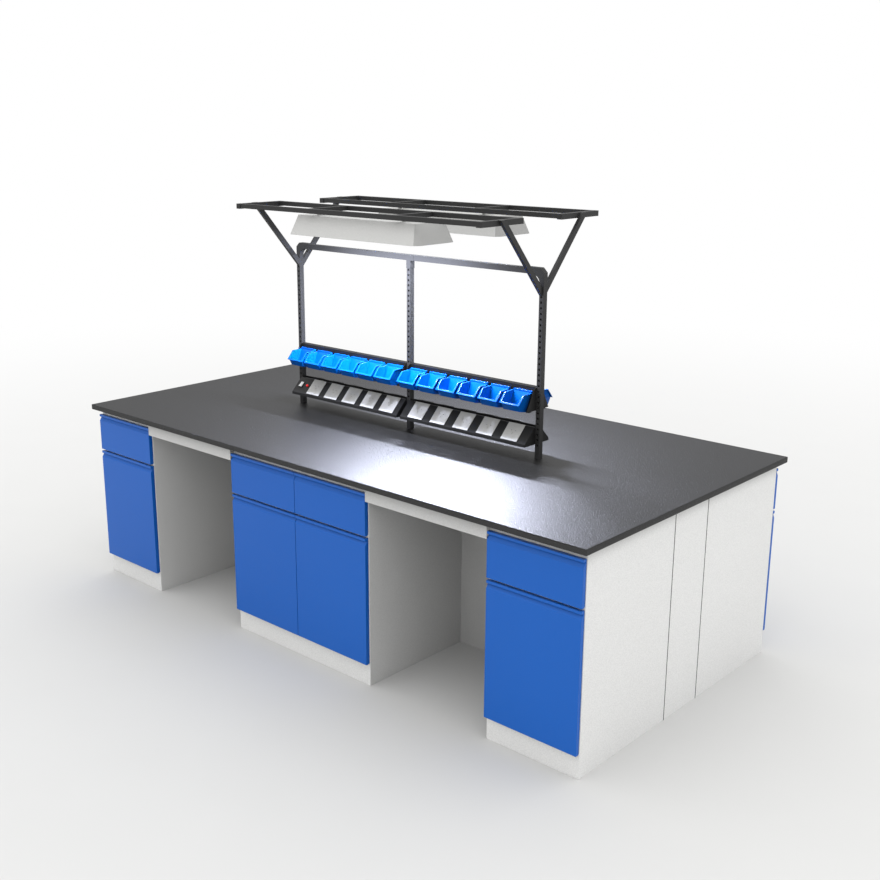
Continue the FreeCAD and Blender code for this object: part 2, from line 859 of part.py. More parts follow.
def on_slope(shape, x, down):
    """Move a piece that was made level at the origin onto the sloping face of a trunking."""
    placed = shape.copy()
    placed.rotate(Vector(0, 0, 0), Vector(1, 0, 0), 45)
    step = down * math.sin(math.radians(45))
    top = bench_height + trunking_top
    placed.translate(Vector(x, -trunking_back - trunking_shelf - step, top - step))
    return placed


def trunking(start):
    """The folded body of one trunking and its end plates, whose ears meet the uprights."""
    x0, x1 = start + end_plate, start + bay_clear - end_plate
    outline = trunking_outline()
    foot, top = outline[0][1], outline[1][1]
    seam = (outline[0][0] - trunking_wall - trunking_seam, foot)
    body = sheet_outline(outline + [seam], trunking_wall)
    ear_y = rack_front + end_plate_ear
    plate = outline[1:] + [outline[0], (ear_y, foot + trunking_ear_drop),
                           (ear_y, top - trunking_ear_drop)]
    return [prism_x(body, x0, x1), prism_x(plate, start, x0),
            prism_x(plate, x1, start + bay_clear)]


def switch_bezel():
    """The frame round the rocker switch."""
    x, y = switch_width / 2, switch_length / 2
    border = bezel_border
    frame = box(-x - border, x + border, -y - border, y + border, 0, bezel_height)
    frame = frame.cut(box(-x, x, -y, y, 0, bezel_height))
    return on_slope(frame, -switch_offset, switch_down_slope)


def socket_trunkings():
    """The trunkings of both bays, with the bezel of the switch in the left one."""
    return [piece for start in bay_starts() for piece in trunking(start)] + [switch_bezel()]


def socket_plate(x):
    """A square socket plate with three pin holes in its face."""
    half = socket_size / 2
    plate = box(-half, half, -half, half, 0, socket_thickness)
    for pin_x, pin_y, width, height in (
            (-pin_spread, pin_rise, pin_width, pin_height),
            (pin_spread, pin_rise, pin_width, pin_height),
            (0, -pin_rise, pin_height, pin_width)):
        plate = plate.cut(box(pin_x - width / 2, pin_x + width / 2,
                              pin_y - height / 2, pin_y + height / 2,
                              socket_thickness - pin_depth, socket_thickness))
    return on_slope(plate, x, socket_size / 2)


def socket_plates():
    """Five plates in each bay; those of the left bay leave room for the switch."""
    plain_centre = bay_start + bay_clear / 2
    middle = (sockets_per_bay - 1) / 2
    plain = [plain_centre + socket_pitch * (i - middle) for i in range(sockets_per_bay)]
    switched = [-switched_first_socket - switched_socket_pitch * i for i in range(sockets_per_bay)]
    return [socket_plate(x) for x in switched + plain]


def rocker_switch():
    """A rocker that lies in its bezel, tipped to the off side by half of its swing."""
    half = switch_length / 2 - rocker_play
    outline = [
        (-half, rocker_end_bottom), (-half / 4, -rocker_belly), (half / 4, -rocker_belly),
        (half, rocker_end_bottom), (half, rocker_end_top), (0, rocker_middle_top),
        (-half, rocker_end_top),
    ]
    width = switch_width / 2 - rocker_play
    rocker = prism_x(outline, -width, width)
    rocker.rotate(Vector(0, 0, 0), Vector(1, 0, 0), -rocker_half_swing)
    rocker.translate(Vector(0, 0, rocker_pivot_height))
    return on_slope(rocker, -switch_offset, switch_down_slope)


def pilot_lamp():
    """The round red lens beside the switch."""
    lens = Part.makeCylinder(pilot_radius, pilot_height)
    return on_slope(lens, -pilot_offset, switch_down_slope)


# ---------------------------------------------------------------- write the sub-parts
def write_bench():
    save("worktop", [worktop()])
    shells = cabinet_shells()
    save("front_cabinet_shells", shells)
    save("back_cabinet_shells", on_row("back", shells))
    bays = cabinet_bays()
    save("cabinet_shelves", on_both_rows([s for bay in bays for s in shelf_with_ledges(bay)]))
    save("drawer_runner_channels", on_both_rows([s for bay in bays for s in cabinet_runners(bay)]))
    save("door_hinge_arms", on_both_rows([s for bay in bays for s in hinge_arms(bay)]))
    save("knee_space_panels", on_both_rows(knee_space_panels()))
    save("void_end_covers", void_end_covers())


def write_rack():
    save("rack_uprights", rack_uprights())
    save("rack_top_beam", rack_top_beam())
    save("lamp_arms", on_both_rows(lamp_arms()))
    save("ladder_frames", on_both_rows(ladder_frame() + ladder_caps()))
    save("lamp_housings", on_both_rows(lamp_housing()))
    save("lamp_diffusers", on_both_rows([lamp_diffuser()]))
    save("bin_rails", on_both_rows([s for start in bay_starts() for s in bin_rail(start)]))
    save("socket_trunkings", on_both_rows(socket_trunkings()))
    save("socket_plates", on_both_rows(socket_plates()))
    save("pilot_lamps", on_both_rows([pilot_lamp()]))


def write_moving_parts():
    for row in ("front", "back"):
        for bay in cabinet_bays():
            save(f"{row}_{bay.name}_drawer", on_row(row, drawer(bay)))
            save(f"{row}_{bay.name}_door", on_row(row, door(bay)))
        for number, x in enumerate(bin_centres(), start=1):
            save(f"{row}_bin_{number:02d}", on_row(row, [hanging_bin(x)]))
        save(f"{row}_rocker_switch", on_row(row, [rocker_switch()]))


os.makedirs("parts", exist_ok=True)
write_bench()
write_rack()
write_moving_parts()
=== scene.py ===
# %% [markdown]
# # A double-sided laboratory bench
#
# The bench is two rows of white steel cabinets with blue fronts, back to back under one dark
# worktop. A black rack stands along the middle and carries plastic bins, sloping socket
# trunkings and two lamps. The solid model already has every shape at its real size. This lesson
# gives each surface its finish, rounds the edges that catch the light, adds gaskets and the
# raised hooks of the bins, and sets up the floor, the light and the camera.
#
# Everything is in metres: X runs along the bench, the front row faces -Y, and Z is up.

# %% Load the solid model as a fixed frame
import json
import math

import bpy
from mathutils import Matrix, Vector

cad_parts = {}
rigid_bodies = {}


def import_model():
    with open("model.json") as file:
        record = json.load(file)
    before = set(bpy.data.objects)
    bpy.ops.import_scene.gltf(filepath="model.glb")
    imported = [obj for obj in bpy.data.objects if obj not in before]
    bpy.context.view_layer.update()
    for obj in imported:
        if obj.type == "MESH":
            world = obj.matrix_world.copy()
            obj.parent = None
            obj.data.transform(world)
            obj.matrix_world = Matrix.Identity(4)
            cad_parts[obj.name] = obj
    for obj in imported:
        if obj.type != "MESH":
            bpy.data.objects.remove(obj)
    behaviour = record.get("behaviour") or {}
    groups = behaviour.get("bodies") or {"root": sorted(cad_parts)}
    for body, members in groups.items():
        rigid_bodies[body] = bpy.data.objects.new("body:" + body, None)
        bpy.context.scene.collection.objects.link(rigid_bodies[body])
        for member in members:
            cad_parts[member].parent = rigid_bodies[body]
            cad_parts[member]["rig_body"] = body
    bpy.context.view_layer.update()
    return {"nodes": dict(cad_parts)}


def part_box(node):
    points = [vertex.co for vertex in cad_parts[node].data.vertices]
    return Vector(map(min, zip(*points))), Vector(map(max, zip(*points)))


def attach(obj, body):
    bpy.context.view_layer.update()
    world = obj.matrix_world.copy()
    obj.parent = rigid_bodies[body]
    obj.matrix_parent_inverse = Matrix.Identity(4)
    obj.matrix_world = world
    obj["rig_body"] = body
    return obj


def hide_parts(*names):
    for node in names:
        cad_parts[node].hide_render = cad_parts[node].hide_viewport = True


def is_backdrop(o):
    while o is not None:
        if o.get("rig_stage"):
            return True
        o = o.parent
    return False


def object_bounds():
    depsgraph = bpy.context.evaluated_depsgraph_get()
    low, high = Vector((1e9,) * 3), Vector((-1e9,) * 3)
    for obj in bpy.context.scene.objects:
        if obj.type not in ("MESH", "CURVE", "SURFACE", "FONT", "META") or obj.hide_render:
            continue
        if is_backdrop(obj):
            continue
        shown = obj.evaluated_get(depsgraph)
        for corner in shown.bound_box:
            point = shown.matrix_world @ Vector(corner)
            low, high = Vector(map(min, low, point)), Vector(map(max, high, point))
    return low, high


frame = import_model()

nodes = frame["nodes"]

# %% [markdown]
# ## Shader arithmetic
#
# A finish is a sum of small variations: a grain, a streak, a worn patch. In the node editor each
# plus or times is a Math node, and a graph of twenty of them is hard to read. A small class
# makes the same graph from a Python expression: a `Wire` is one output of a node, and plus,
# minus, times, less than and greater than each add the Math node that works them out.


# %% Wires that do arithmetic
class Wire:
    """One output of a node. Each operator adds the Math node that works it out."""

    def __init__(self, finish, socket):
        self.finish = finish
        self.socket = socket

    def of(self, output):
        """Another output of the same node, by name or number."""
        return Wire(self.finish, self.socket.node.outputs[output])

    def math(self, operation, *values):
        inputs = dict(enumerate(values))
        return self.finish.node("Math", {"operation": operation}, inputs)

    def __add__(self, other):
        return self.math("ADD", self, other)

    def __sub__(self, other):
        return self.math("SUBTRACT", self, other)

    def __rsub__(self, other):
        return self.math("SUBTRACT", other, self)

    def __mul__(self, other):
        return self.math("MULTIPLY", self, other)

    def __gt__(self, other):
        return self.math("GREATER_THAN", self, other)

    def __lt__(self, other):
        return self.math("LESS_THAN", self, other)

    def size(self):
        """The value without its sign."""
        return self.math("ABSOLUTE", self)

    def between(self, low, high):
        """0 below low, 1 above high, and a smooth rise from one to the other."""
        settings = {"interpolation_type": "SMOOTHSTEP"}
        return self.finish.node("MapRange", settings, {0: self, 1: low, 2: high})

    def ramp(self, low, high, first, last):
        """A straight run from first at low to last at high, and level outside."""
        return self.finish.node("MapRange", None, {0: self, 1: low, 2: high, 3: first, 4: last})

    __radd__ = __add__
    __rmul__ = __mul__


def blended(first, second, share):
    """A share of one pattern and the rest of another."""
    return first * share + second * (1 - share)


print("wires can be added, subtracted, multiplied and compared")

# %% [markdown]
# ## One class for every finish
#
# All other nodes come from one method. `node` takes the type, the settings that are chosen from
# lists, and what goes into the sockets: a number is written there, and a wire is connected.
# The methods below it are the few nodes that nearly every finish here needs. Their patterns
# read Object coordinates, which are metres in the bench's own frame, so that a grain has its
# real size and stays on a drawer when the drawer slides out.


# %% A finish under construction
class Finish:
    """The nodes of one material, or of the world when kind says "worlds"."""

    def __init__(self, name, kind="materials"):
        self.owner = getattr(bpy.data, kind).new(name)
        self.owner.use_nodes = True
        self.tree = self.owner.node_tree
        self.tree.nodes.clear()

    def node(self, kind, settings=None, inputs=None):
        """Add a node of any kind and return its first output."""
        made = self.tree.nodes.new("ShaderNode" + kind)
        for name, value in (settings or {}).items():
            setattr(made, name, value)
        for name, value in (inputs or {}).items():
            if isinstance(value, Wire):
                self.tree.links.new(value.socket, made.inputs[name])
            else:
                made.inputs[name].default_value = value
        return Wire(self, made.outputs[0]) if made.outputs else None

    def place(self):
        """The point of the surface in metres, in the bench's own frame."""
        return self.node("TexCoord").of("Object")

    def axes(self):
        """The same point as three separate values."""
        split = self.node("SeparateXYZ", None, {0: self.place()})
        return split.of("X"), split.of("Y"), split.of("Z")

    def noise(self, scale, detail, stretch=(1, 1, 1)):
        """Cloudy noise from 0 to 1. Scale is in lumps a metre."""
        where = self.node("Mapping", None, {"Vector": self.place(), "Scale": stretch})
        inputs = {"Vector": where, "Scale": scale, "Detail": detail}
        return self.node("TexNoise", None, inputs)

    def mix(self, factor, first, second):
        """A colour between two colours."""
        settings = {"data_type": "RGBA"}
        return self.node("Mix", settings, {0: factor, 6: first, 7: second}).of(2)

    def bump(self, height, depth, strength, under=None):
        """A normal that follows a height. Depth is the height of 1 in metres."""
        inputs = {"Height": height, "Distance": depth, "Strength": strength}
        if under is not None:
            inputs["Normal"] = under
        return self.node("Bump", None, inputs)

    def rounded(self, radius):
        """The surface normal with every edge rounded off, so that edges catch the light."""
        return self.node("Bevel", {"samples": 4}, {"Radius": radius})

    def surface(self, **inputs):
        """Close the finish with a Principled shader. Underscores stand for spaces."""
        named = {name.replace("_", " "): value for name, value in inputs.items()}
        shader = self.node("BsdfPrincipled", None, named)
        self.node("OutputMaterial", None, {"Surface": shader})
        return self.owner


print("a finish is made of the nodes that its methods add")

# %% [markdown]
# ## Colours, and who wears a finish
#
# A shader wants a colour as amounts of light, but a screen's levels from 0 to 255 are spaced
# for the eye: half of 255 is only a fifth of the light. `colour` works out the light from the
# levels, so that every colour below can be written as it looks. `finish_nodes` gives a finished
# material to pieces of the solid model by name.


# %% Screen colours and the wearing of a finish
def colour(red, green, blue):
    """A colour written as it looks on a screen, from 0 to 255, as the shader wants it."""
    def plain(level):
        level /= 255
        return level / 12.92 if level <= 0.04045 else ((level + 0.055) / 1.055) ** 2.4
    return plain(red), plain(green), plain(blue), 1.0


def grey(level):
    """A neutral colour of one screen level."""
    return colour(level, level, level)


def finish_nodes(material, *names):
    """Give a material to solid-model nodes. Their shape and place stay as they are."""
    for name in names:
        nodes[name].material_slots[0].material = material
    print(material.name, "on", len(names), "nodes")


print("half grey on a screen is", round(grey(127.5)[0], 3), "of the light")

# %% [markdown]
# ## Pieces with rounded edges
#
# The solid model's corners are sharp, and no real edge is: a rounding of a millimetre catches a
# thin line of light. For most pieces a Bevel node in the finish imitates that line in the
# shading alone. Two shapes are seen so well that they deserve real rounded edges: the worktop
# and the moulded bins. A node's mesh is loose triangles, so a copy of it is merged first, its
# flat faces are joined, and then a Bevel modifier rounds every sharp edge that is left.


# %% Working on one object at a time
corner_turn = math.radians(30)


def alone(thing):
    """Make one object the whole selection, so that an operator acts on it alone."""
    bpy.ops.object.select_all(action="DESELECT")
    thing.select_set(True)
    bpy.context.view_layer.objects.active = thing


def merge_flat_faces(thing):
    """Join the loose triangles of a copied node into its flat faces."""
    alone(thing)
    bpy.ops.object.mode_set(mode="EDIT")
    bpy.ops.mesh.select_all(action="SELECT")
    bpy.ops.mesh.remove_doubles(threshold=0.000002)
    bpy.ops.mesh.dissolve_limited(angle_limit=math.radians(1))
    bpy.ops.object.mode_set(mode="OBJECT")


def bevel_edges(thing, width, segments):
    """Round every edge that turns enough to be a corner. Hardened normals keep the flat faces
    flat, so that only the roundings are shaded smooth."""
    alone(thing)
    bpy.ops.object.shade_smooth()
    bevel = thing.modifiers.new("rounding", "BEVEL")
    bevel.width = width
    bevel.segments = segments
    bevel.angle_limit = corner_turn
    bevel.harden_normals = True
    bpy.ops.object.modifier_apply(modifier=bevel.name)


def small_block(size):
    """A block of a given size around the origin, the start of a small moulded piece."""
    bpy.ops.mesh.primitive_cube_add(size=1)
    block = bpy.context.object
    block.scale = size
    bpy.ops.object.transform_apply(location=True, rotation=True, scale=True)
    return block


print("edges that turn more than", round(math.degrees(corner_turn)), "degrees are rounded")

# %% [markdown]
# ## Pieces that ride on the bench
#
# A door swings and a bin lifts, and what is new on them has to move with them. Each node of the
# solid model belongs to a body. `ride_with` puts a new piece on the body of a node, so it
# follows the same joint. A rounded copy also takes the node's place in the picture. What repeats
# is modelled once, around the origin, and each copy has its own mesh with its place in it.


# %% Riding, replacing and copying
scene = bpy.context.scene
new_pieces = []


def ride_with(piece, name, material):
    """Give a new piece its finish, and let it move with the body of a solid-model node."""
    piece.data.materials.clear()
    piece.data.materials.append(material)
    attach(piece, nodes[name]["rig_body"])
    new_pieces.append(piece)


def copied(pattern, name, place=(0, 0, 0)):
    """A copy of an object that has its own mesh, moved to its place within that mesh."""
    piece = bpy.data.objects.new(name, pattern.data.copy())
    scene.collection.objects.link(piece)
    piece.data.transform(Matrix.Translation(place))
    return piece


def softened(name, width, segments, material):
    """A copy of a node's shape with rounded edges, shown in place of the node."""
    piece = copied(nodes[name], name + "_rounded")
    merge_flat_faces(piece)
    bevel_edges(piece, width, segments)
    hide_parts(name)
    ride_with(piece, name, material)
    return piece


print("new pieces so far:", len(new_pieces))

# %% [markdown]
# ## White powder coat
#
# The cabinets are sheet steel with a baked powder coat. Powder melts into a skin with a fine
# orange peel, so the white isn't flat: it has a grain of a few millimetres, and a slow drift in
# tone from panel to panel. Both come from noise, one fine and one slow, in Base Color, and the
# grain also feeds a Bump so that it breaks up reflections. A picture texture could do the same,
# but noise has no seams and needs no unwrapping. Shade is painted into the colour as well: the
# faces inside the cabinets and the knee spaces are painted greyer, and a painted shade darkens
# the top of a panel where the worktop's overhang keeps the light off.


# %% White and grey powder coats
sheet_depth = 0.003
shell_low, shell_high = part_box("front_cabinet_shells")
end_face = shell_high.x - sheet_depth
plinth_face = -shell_low.y - sheet_depth
overhang_foot, overhang_top = 0.81, 0.88
painted_overhang_shade_share, painted_inside_shade_share = 0.35, 0.5


def powder_coat(name, dark, light, aprons=False):
    """A coat between two tones, with shade painted into it. A painted shade darkens the top band
    under the worktop's overhang: on the aprons all of it, and elsewhere only on the end faces.
    Faces inside the end faces and behind the plinth are painted greyer, as painted shade."""
    finish = Finish(name)
    grain = finish.noise(scale=300, detail=1).between(0.3, 0.7)
    drift = finish.noise(scale=1.3, detail=1)
    across, out, up = finish.axes()
    # painted shade: faces inside the end faces and behind the plinth are painted greyer
    inside = (across.size() < end_face) * (out.size() < plinth_face)
    visible = finish.mix(blended(grain, drift, 0.7), colour(*dark), colour(*light))
    # painted shade: the band just under the worktop is darkened, where its overhang keeps the
    # light off
    painted_overhang_shade = up.between(overhang_foot, overhang_top) * painted_overhang_shade_share
    if not aprons:
        painted_overhang_shade = painted_overhang_shade * (across.size() > end_face)
    shaded = finish.mix(painted_overhang_shade, visible, colour(140, 140, 139))
    base = finish.mix(inside * painted_inside_shade_share, shaded, colour(184, 184, 183))
    edges = finish.rounded(radius=0.0012)
    normal = finish.bump(grain, depth=0.0005, strength=0.5, under=edges)
    return finish.surface(Base_Color=base, Roughness=0.45 + grain * 0.12, Normal=normal,
                          Specular_IOR_Level=0.4)


finish_nodes(powder_coat("white_powder_coat", dark=(220, 220, 219), light=(238, 238, 237)),
             "front_cabinet_shells", "back_cabinet_shells", "cabinet_shelves",
             "void_end_covers")
# painted shade: the knee-space panels are painted greyer for the shade in the knee spaces, and
# their whole top band takes the painted overhang shade
finish_nodes(powder_coat("grey_powder_coat", dark=(190, 190, 189), light=(206, 206, 205),
                         aprons=True), "knee_space_panels")

# %% [markdown]
# ## Gaskets beside the end covers
#
# The cover that closes the service void at each end of the bench stands two millimetres off the
# cabinets. A black rubber gasket sits over that gap. Its lip is a little wider than the gap and
# stands less than half a millimetre proud, so it reads as a fine dark line. A dark line painted
# in the white finish would look the same from afar, but it would have no edge up close.


# %% Gasket strips
def rubber():
    finish = Finish("black_rubber")
    worn = finish.noise(scale=90, detail=2)
    base = finish.mix(worn, grey(30), colour(52, 52, 51))
    return finish.surface(Base_Color=base, Roughness=0.7 + worn * 0.15)


gasket_width, gasket_depth, gasket_rounding = 0.0044, 0.006, 0.0002
cover_gap, proud = 0.002, 0.0004
cover_low, cover_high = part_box("void_end_covers")
gasket_x = cover_high.x + proud - gasket_depth / 2
gasket_y = cover_high.y + cover_gap / 2
gasket_z = (cover_low.z + cover_high.z) / 2
seal = rubber()
strip = small_block((gasket_depth, gasket_width, cover_high.z - cover_low.z))
bevel_edges(strip, width=gasket_rounding, segments=2)
for end, x in (("left", -gasket_x), ("right", gasket_x)):
    for row, y in (("front", -gasket_y), ("back", gasket_y)):
        gasket = copied(strip, row + "_" + end + "_gasket", (x, y, gasket_z))
        ride_with(gasket, "void_end_covers", seal)
bpy.data.objects.remove(strip)
print("gaskets at", round(gasket_x, 4), round(gasket_y, 4))

# %% [markdown]
# ## Blue fronts
#
# Doors and drawer fronts have a satin blue coat, smoother than the white one. A drawer is one
# node with its box, and the box is pale grey. The node has to stay whole, so one material makes
# both: it changes with the distance from the middle of the bench, blue within the front's
# thickness and grey behind it.


# %% Blue coat, and the same with a pale box behind it
front_back = 0.7049


def blue_coat(name, with_box):
    """The satin coat of the fronts, and the pale grey of a drawer's box if there is one."""
    finish = Finish(name)
    peel = finish.noise(scale=260, detail=2)
    drift = finish.noise(scale=1.1, detail=1)
    base = finish.mix(blended(peel, drift, 0.4), colour(0, 87, 179), colour(6, 97, 193))
    rough = 0.34 + peel * 0.08
    if with_box:
        box = finish.mix(peel, colour(190, 192, 194), colour(206, 208, 209))
        front = finish.axes()[1].size() > front_back
        base = finish.mix(front, box, base)
        rough = rough + (1 - front) * 0.15
    edges = finish.rounded(radius=0.002)
    normal = finish.bump(peel, depth=0.0002, strength=0.35, under=edges)
    return finish.surface(Base_Color=base, Roughness=rough, Normal=normal,
                          Specular_IOR_Level=0.35)


doors = [name for name in nodes if name.endswith("_door")]
drawers = [name for name in nodes if name.endswith("_drawer")]
finish_nodes(blue_coat("blue_powder_coat", with_box=False), *doors)
finish_nodes(blue_coat("blue_front_grey_box", with_box=True), *drawers)

# %% [markdown]
# ## Worktop
#
# Solid phenolic board is nearly black, yet from a low angle its top looks mid grey: a fine
# pebble texture scatters the reflection of the room. So the colour stays dark and the work is
# done by Roughness and a bump of about five millimetres from lump to lump. A few smoother
# glints on it give the sparkle inside the glare of a lamp. The sawn edge, which is found by its
# level below the top, is more matt and even in colour.


# %% Worktop finish
top_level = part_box("worktop")[1].z
skin_depth = 0.0015


def phenolic_board():
    finish = Finish("phenolic_board")
    pebble = finish.noise(scale=215, detail=1)
    glints = finish.noise(scale=190, detail=0).between(0.69, 0.77)
    mottle = finish.noise(scale=260, detail=2).between(0.3, 0.7)
    sawn_edge = finish.axes()[2] < top_level - skin_depth
    dark = finish.mix(mottle, grey(16), grey(44))
    base = finish.mix(sawn_edge, dark, grey(50))
    normal = finish.bump(pebble + glints * 0.8, depth=0.0029, strength=0.6)
    return finish.surface(Base_Color=base, Normal=normal, Specular_IOR_Level=0.34,
                          Roughness=0.42 + mottle * 0.06 + sawn_edge * 0.2 - glints * 0.2)


board = softened("worktop", width=0.0012, segments=3,
                 material=phenolic_board())
print("the worktop has", len(board.data.polygons), "faces")

# %% [markdown]
# ## Black rack
#
# The rack, the bin rails and the trunkings have a satin black coat with a very fine texture.
# Real black paint is never at zero: the tubes look dark grey. The rails and trunkings face down
# more and get less light, and that is painted into their colour as a painted shade about a dozen
# levels darker. One function with two numbers makes all three.


# %% Black coats
darker, lighter = -5, 6


def black_coat(name, shade, rough):
    """A satin black around a screen level, of a given roughness."""
    finish = Finish(name)
    texture = finish.noise(scale=420, detail=2)
    drift = finish.noise(scale=6, detail=2)
    base = finish.mix(blended(texture, drift, 0.6), grey(shade + darker), grey(shade + lighter))
    edges = finish.rounded(radius=0.001)
    normal = finish.bump(texture, depth=0.0003, strength=0.5, under=edges)
    return finish.surface(Base_Color=base, Roughness=rough + texture * 0.1, Normal=normal,
                          Specular_IOR_Level=0.3)


finish_nodes(black_coat("black_powder_coat", shade=46, rough=0.4), "rack_uprights",
             "rack_top_beam", "lamp_arms", "ladder_frames")
# painted shade: the rails and trunkings, which face down more, get darker levels than the tubes
finish_nodes(black_coat("black_rail_coat", shade=34, rough=0.45), "bin_rails")
finish_nodes(black_coat("black_trunking", shade=30, rough=0.38), "socket_trunkings")

# %% [markdown]
# ## Zinc plate
#
# The runners of the drawers and the arms of the door hinges are bare metal: steel with a thin
# zinc plate. A metal has Metallic at 1 and takes its colour from Base Color, and the plating's
# cloudy bloom is noise in both the colour and the roughness.


# %% Zinc plate
def zinc_plate():
    finish = Finish("zinc_plate")
    bloom = finish.noise(scale=60, detail=4)
    base = finish.mix(bloom, colour(168, 170, 172), colour(205, 207, 208))
    return finish.surface(Base_Color=base, Metallic=1.0, Roughness=0.28 + bloom * 0.2)


finish_nodes(zinc_plate(), "drawer_runner_channels", "door_hinge_arms")

# %% [markdown]
# ## Lamps
#
# The lamp's shade is pale grey sheet. Its two ends are painted darker, a painted shade for the
# light that they miss, and they are told from the sides by the way that they face, which is along
# the bench. The shade is closed below by an opal panel with small prisms. The panel glows by an
# Emission Color with a constant strength, and the light that falls on the bench comes mostly
# from lights that are added later.


# %% Lamp sheet and glowing panel
along_bench = 0.5


def lamp_sheet():
    finish = Finish("lamp_sheet")
    grain = finish.noise(scale=230, detail=3)
    facing = finish.node("SeparateXYZ", None, {0: finish.node("TexCoord").of("Normal")})
    # painted shade: faces that point along the bench, the ends, are painted darker
    painted_end_shade = facing.size() > along_bench
    sheet = finish.mix(grain, colour(193, 193, 191), colour(209, 209, 207))
    base = finish.mix(painted_end_shade * 0.5, sheet, colour(132, 132, 131))
    edges = finish.rounded(radius=0.002)
    normal = finish.bump(grain, depth=0.0004, strength=0.4, under=edges)
    return finish.surface(Base_Color=base, Roughness=0.5, Normal=normal)


def opal_panel(strength):
    finish = Finish("opal_panel")
    prisms = finish.node("TexVoronoi", None, {"Vector": finish.place(), "Scale": 160.0})
    glow = finish.mix(prisms, colour(250, 252, 255), colour(236, 242, 255))
    return finish.surface(Base_Color=glow, Roughness=0.3, Emission_Color=glow,
                          Emission_Strength=strength)


finish_nodes(lamp_sheet(), "lamp_housings")
finish_nodes(opal_panel(strength=3.0), "lamp_diffusers")

# %% [markdown]
# ## Socket plates
#
# A socket plate is brushed stainless steel. The brushing runs across the plate, which noise
# stretched along X imitates. Its three pin holes are pockets two millimetres deep, and they are
# dark because their floor is the black shutter behind the plate. The plates lie on a face that
# slopes at 45 degrees on both sides of the bench, so the sum of |Y| and Z, over the root of
# two, grows straight out of that face, and what is low enough is shutter.


# %% Brushed plates with dark pin holes
slope_top_y, slope_top_z = 0.0195, 1.040
shutter_rise = 0.0013
root_half = math.sqrt(0.5)
shutter_level = (slope_top_y + slope_top_z) * root_half + shutter_rise


def brushed_plate():
    finish = Finish("brushed_plate")
    lines = finish.noise(scale=900, detail=2, stretch=(0.04, 1, 1))
    cloud = finish.noise(scale=40, detail=3)
    steel = finish.mix(blended(lines, cloud, 0.6), colour(162, 162, 160), colour(202, 202, 200))
    across, out, up = finish.axes()
    shutter = (out.size() + up) * root_half < shutter_level
    base = finish.mix(shutter, steel, colour(14, 14, 15))
    normal = finish.bump(lines, depth=0.00006, strength=0.6)
    return finish.surface(Base_Color=base, Metallic=(1 - shutter) * 0.12,
                          Roughness=0.26 + lines * 0.12, Normal=normal)


finish_nodes(brushed_plate(), "socket_plates")
print("the shutters lie below", round(shutter_level, 4))

# %% [markdown]
# ## Switches and pilot lamps
#
# Switches, lenses and bins are moulded plastic: smooth, with an even colour that swirls only a
# little. One function makes them all, and the lens of a pilot lamp is the only one that glows.
# The same function serves the bins further down, with far less gloss.


# %% Gloss mouldings
def moulding(name, low, high, rough, gloss=0.5, glow=0.0):
    """Moulded plastic between two close colours."""
    finish = Finish(name)
    swirl = finish.noise(scale=70, detail=3)
    fine = finish.noise(scale=600, detail=2)
    base = finish.mix(swirl, colour(*low), colour(*high))
    edges = finish.rounded(radius=0.0008)
    normal = finish.bump(fine, depth=0.0001, strength=0.12, under=edges)
    return finish.surface(Base_Color=base, Roughness=rough + fine * 0.06, Normal=normal,
                          Specular_IOR_Level=gloss, Emission_Color=base,
                          Emission_Strength=glow)


finish_nodes(moulding("white_rocker", (226, 228, 230), (240, 241, 242), rough=0.2),
             "front_rocker_switch", "back_rocker_switch")
finish_nodes(moulding("red_lens", (205, 18, 18), (225, 34, 30), rough=0.12, glow=0.6),
             "pilot_lamps")

# %% [markdown]
# ## The hook of a bin
#
# A bin hangs on the rail by a hook along the back of its rim, and the hook rises above the rim
# as a ridge with a groove along its top. All ridges are alike, so one is modelled around the
# origin: a block, whose top face is picked by its normal, inset and pushed down. Half of the
# bins are turned round, but the ridge is the same from both sides, so its copies only move.


# %% One hook ridge
hook_reach, hook_rise, hook_margin = 0.011, 0.007, 0.004
groove_lip, groove_depth = 0.0022, 0.003
facing_up = 0.9


def hook_ridge(width):
    """The top of a bin's hook, around the origin."""
    ridge = small_block((width, hook_reach, hook_rise))
    bpy.ops.object.mode_set(mode="EDIT")
    bpy.ops.mesh.select_mode(type="FACE")
    bpy.ops.mesh.select_all(action="DESELECT")
    bpy.ops.object.mode_set(mode="OBJECT")
    for face in ridge.data.polygons:
        face.select = face.normal.z > facing_up
    bpy.ops.object.mode_set(mode="EDIT")
    bpy.ops.mesh.inset(thickness=groove_lip)
    bpy.ops.transform.translate(value=(0, 0, -groove_depth))
    bpy.ops.object.mode_set(mode="OBJECT")
    bevel_edges(ridge, width=0.0005, segments=2)
    return ridge


bins = [name for name in nodes if "_bin_" in name]
bin_low, bin_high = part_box(bins[0])
ridge = hook_ridge(bin_high.x - bin_low.x - 2 * hook_margin)
print("a ridge has", len(ridge.data.polygons), "faces")

# %% [markdown]
# ## Bins
#
# The bins are blue polypropylene, a waxy plastic, so its gloss is low and the brightest
# reflections stay on the rounded rims. Each bin's mesh is copied from the solid model, rounded
# and shown in its place, and it gets a copy of the ridge at the back of its rim.


# %% Bins and their hooks
plastic = moulding("bin_polypropylene", (0, 80, 164), (3, 88, 176), rough=0.2, gloss=0.12)
for name in bins:
    rounded_bin = softened(name, width=0.0006, segments=2, material=plastic)
    low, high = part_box(name)
    outward = 1 if low.y > 0 else -1
    rail_side = min(abs(low.y), abs(high.y))
    middle = ((low.x + high.x) / 2, outward * (rail_side + hook_reach / 2),
              high.z + hook_rise / 2)
    ride_with(copied(ridge, name + "_hook", middle), name, plastic)
bpy.data.objects.remove(ridge)
print(len(bins), "bins of", len(rounded_bin.data.polygons), "faces, each with a hook")

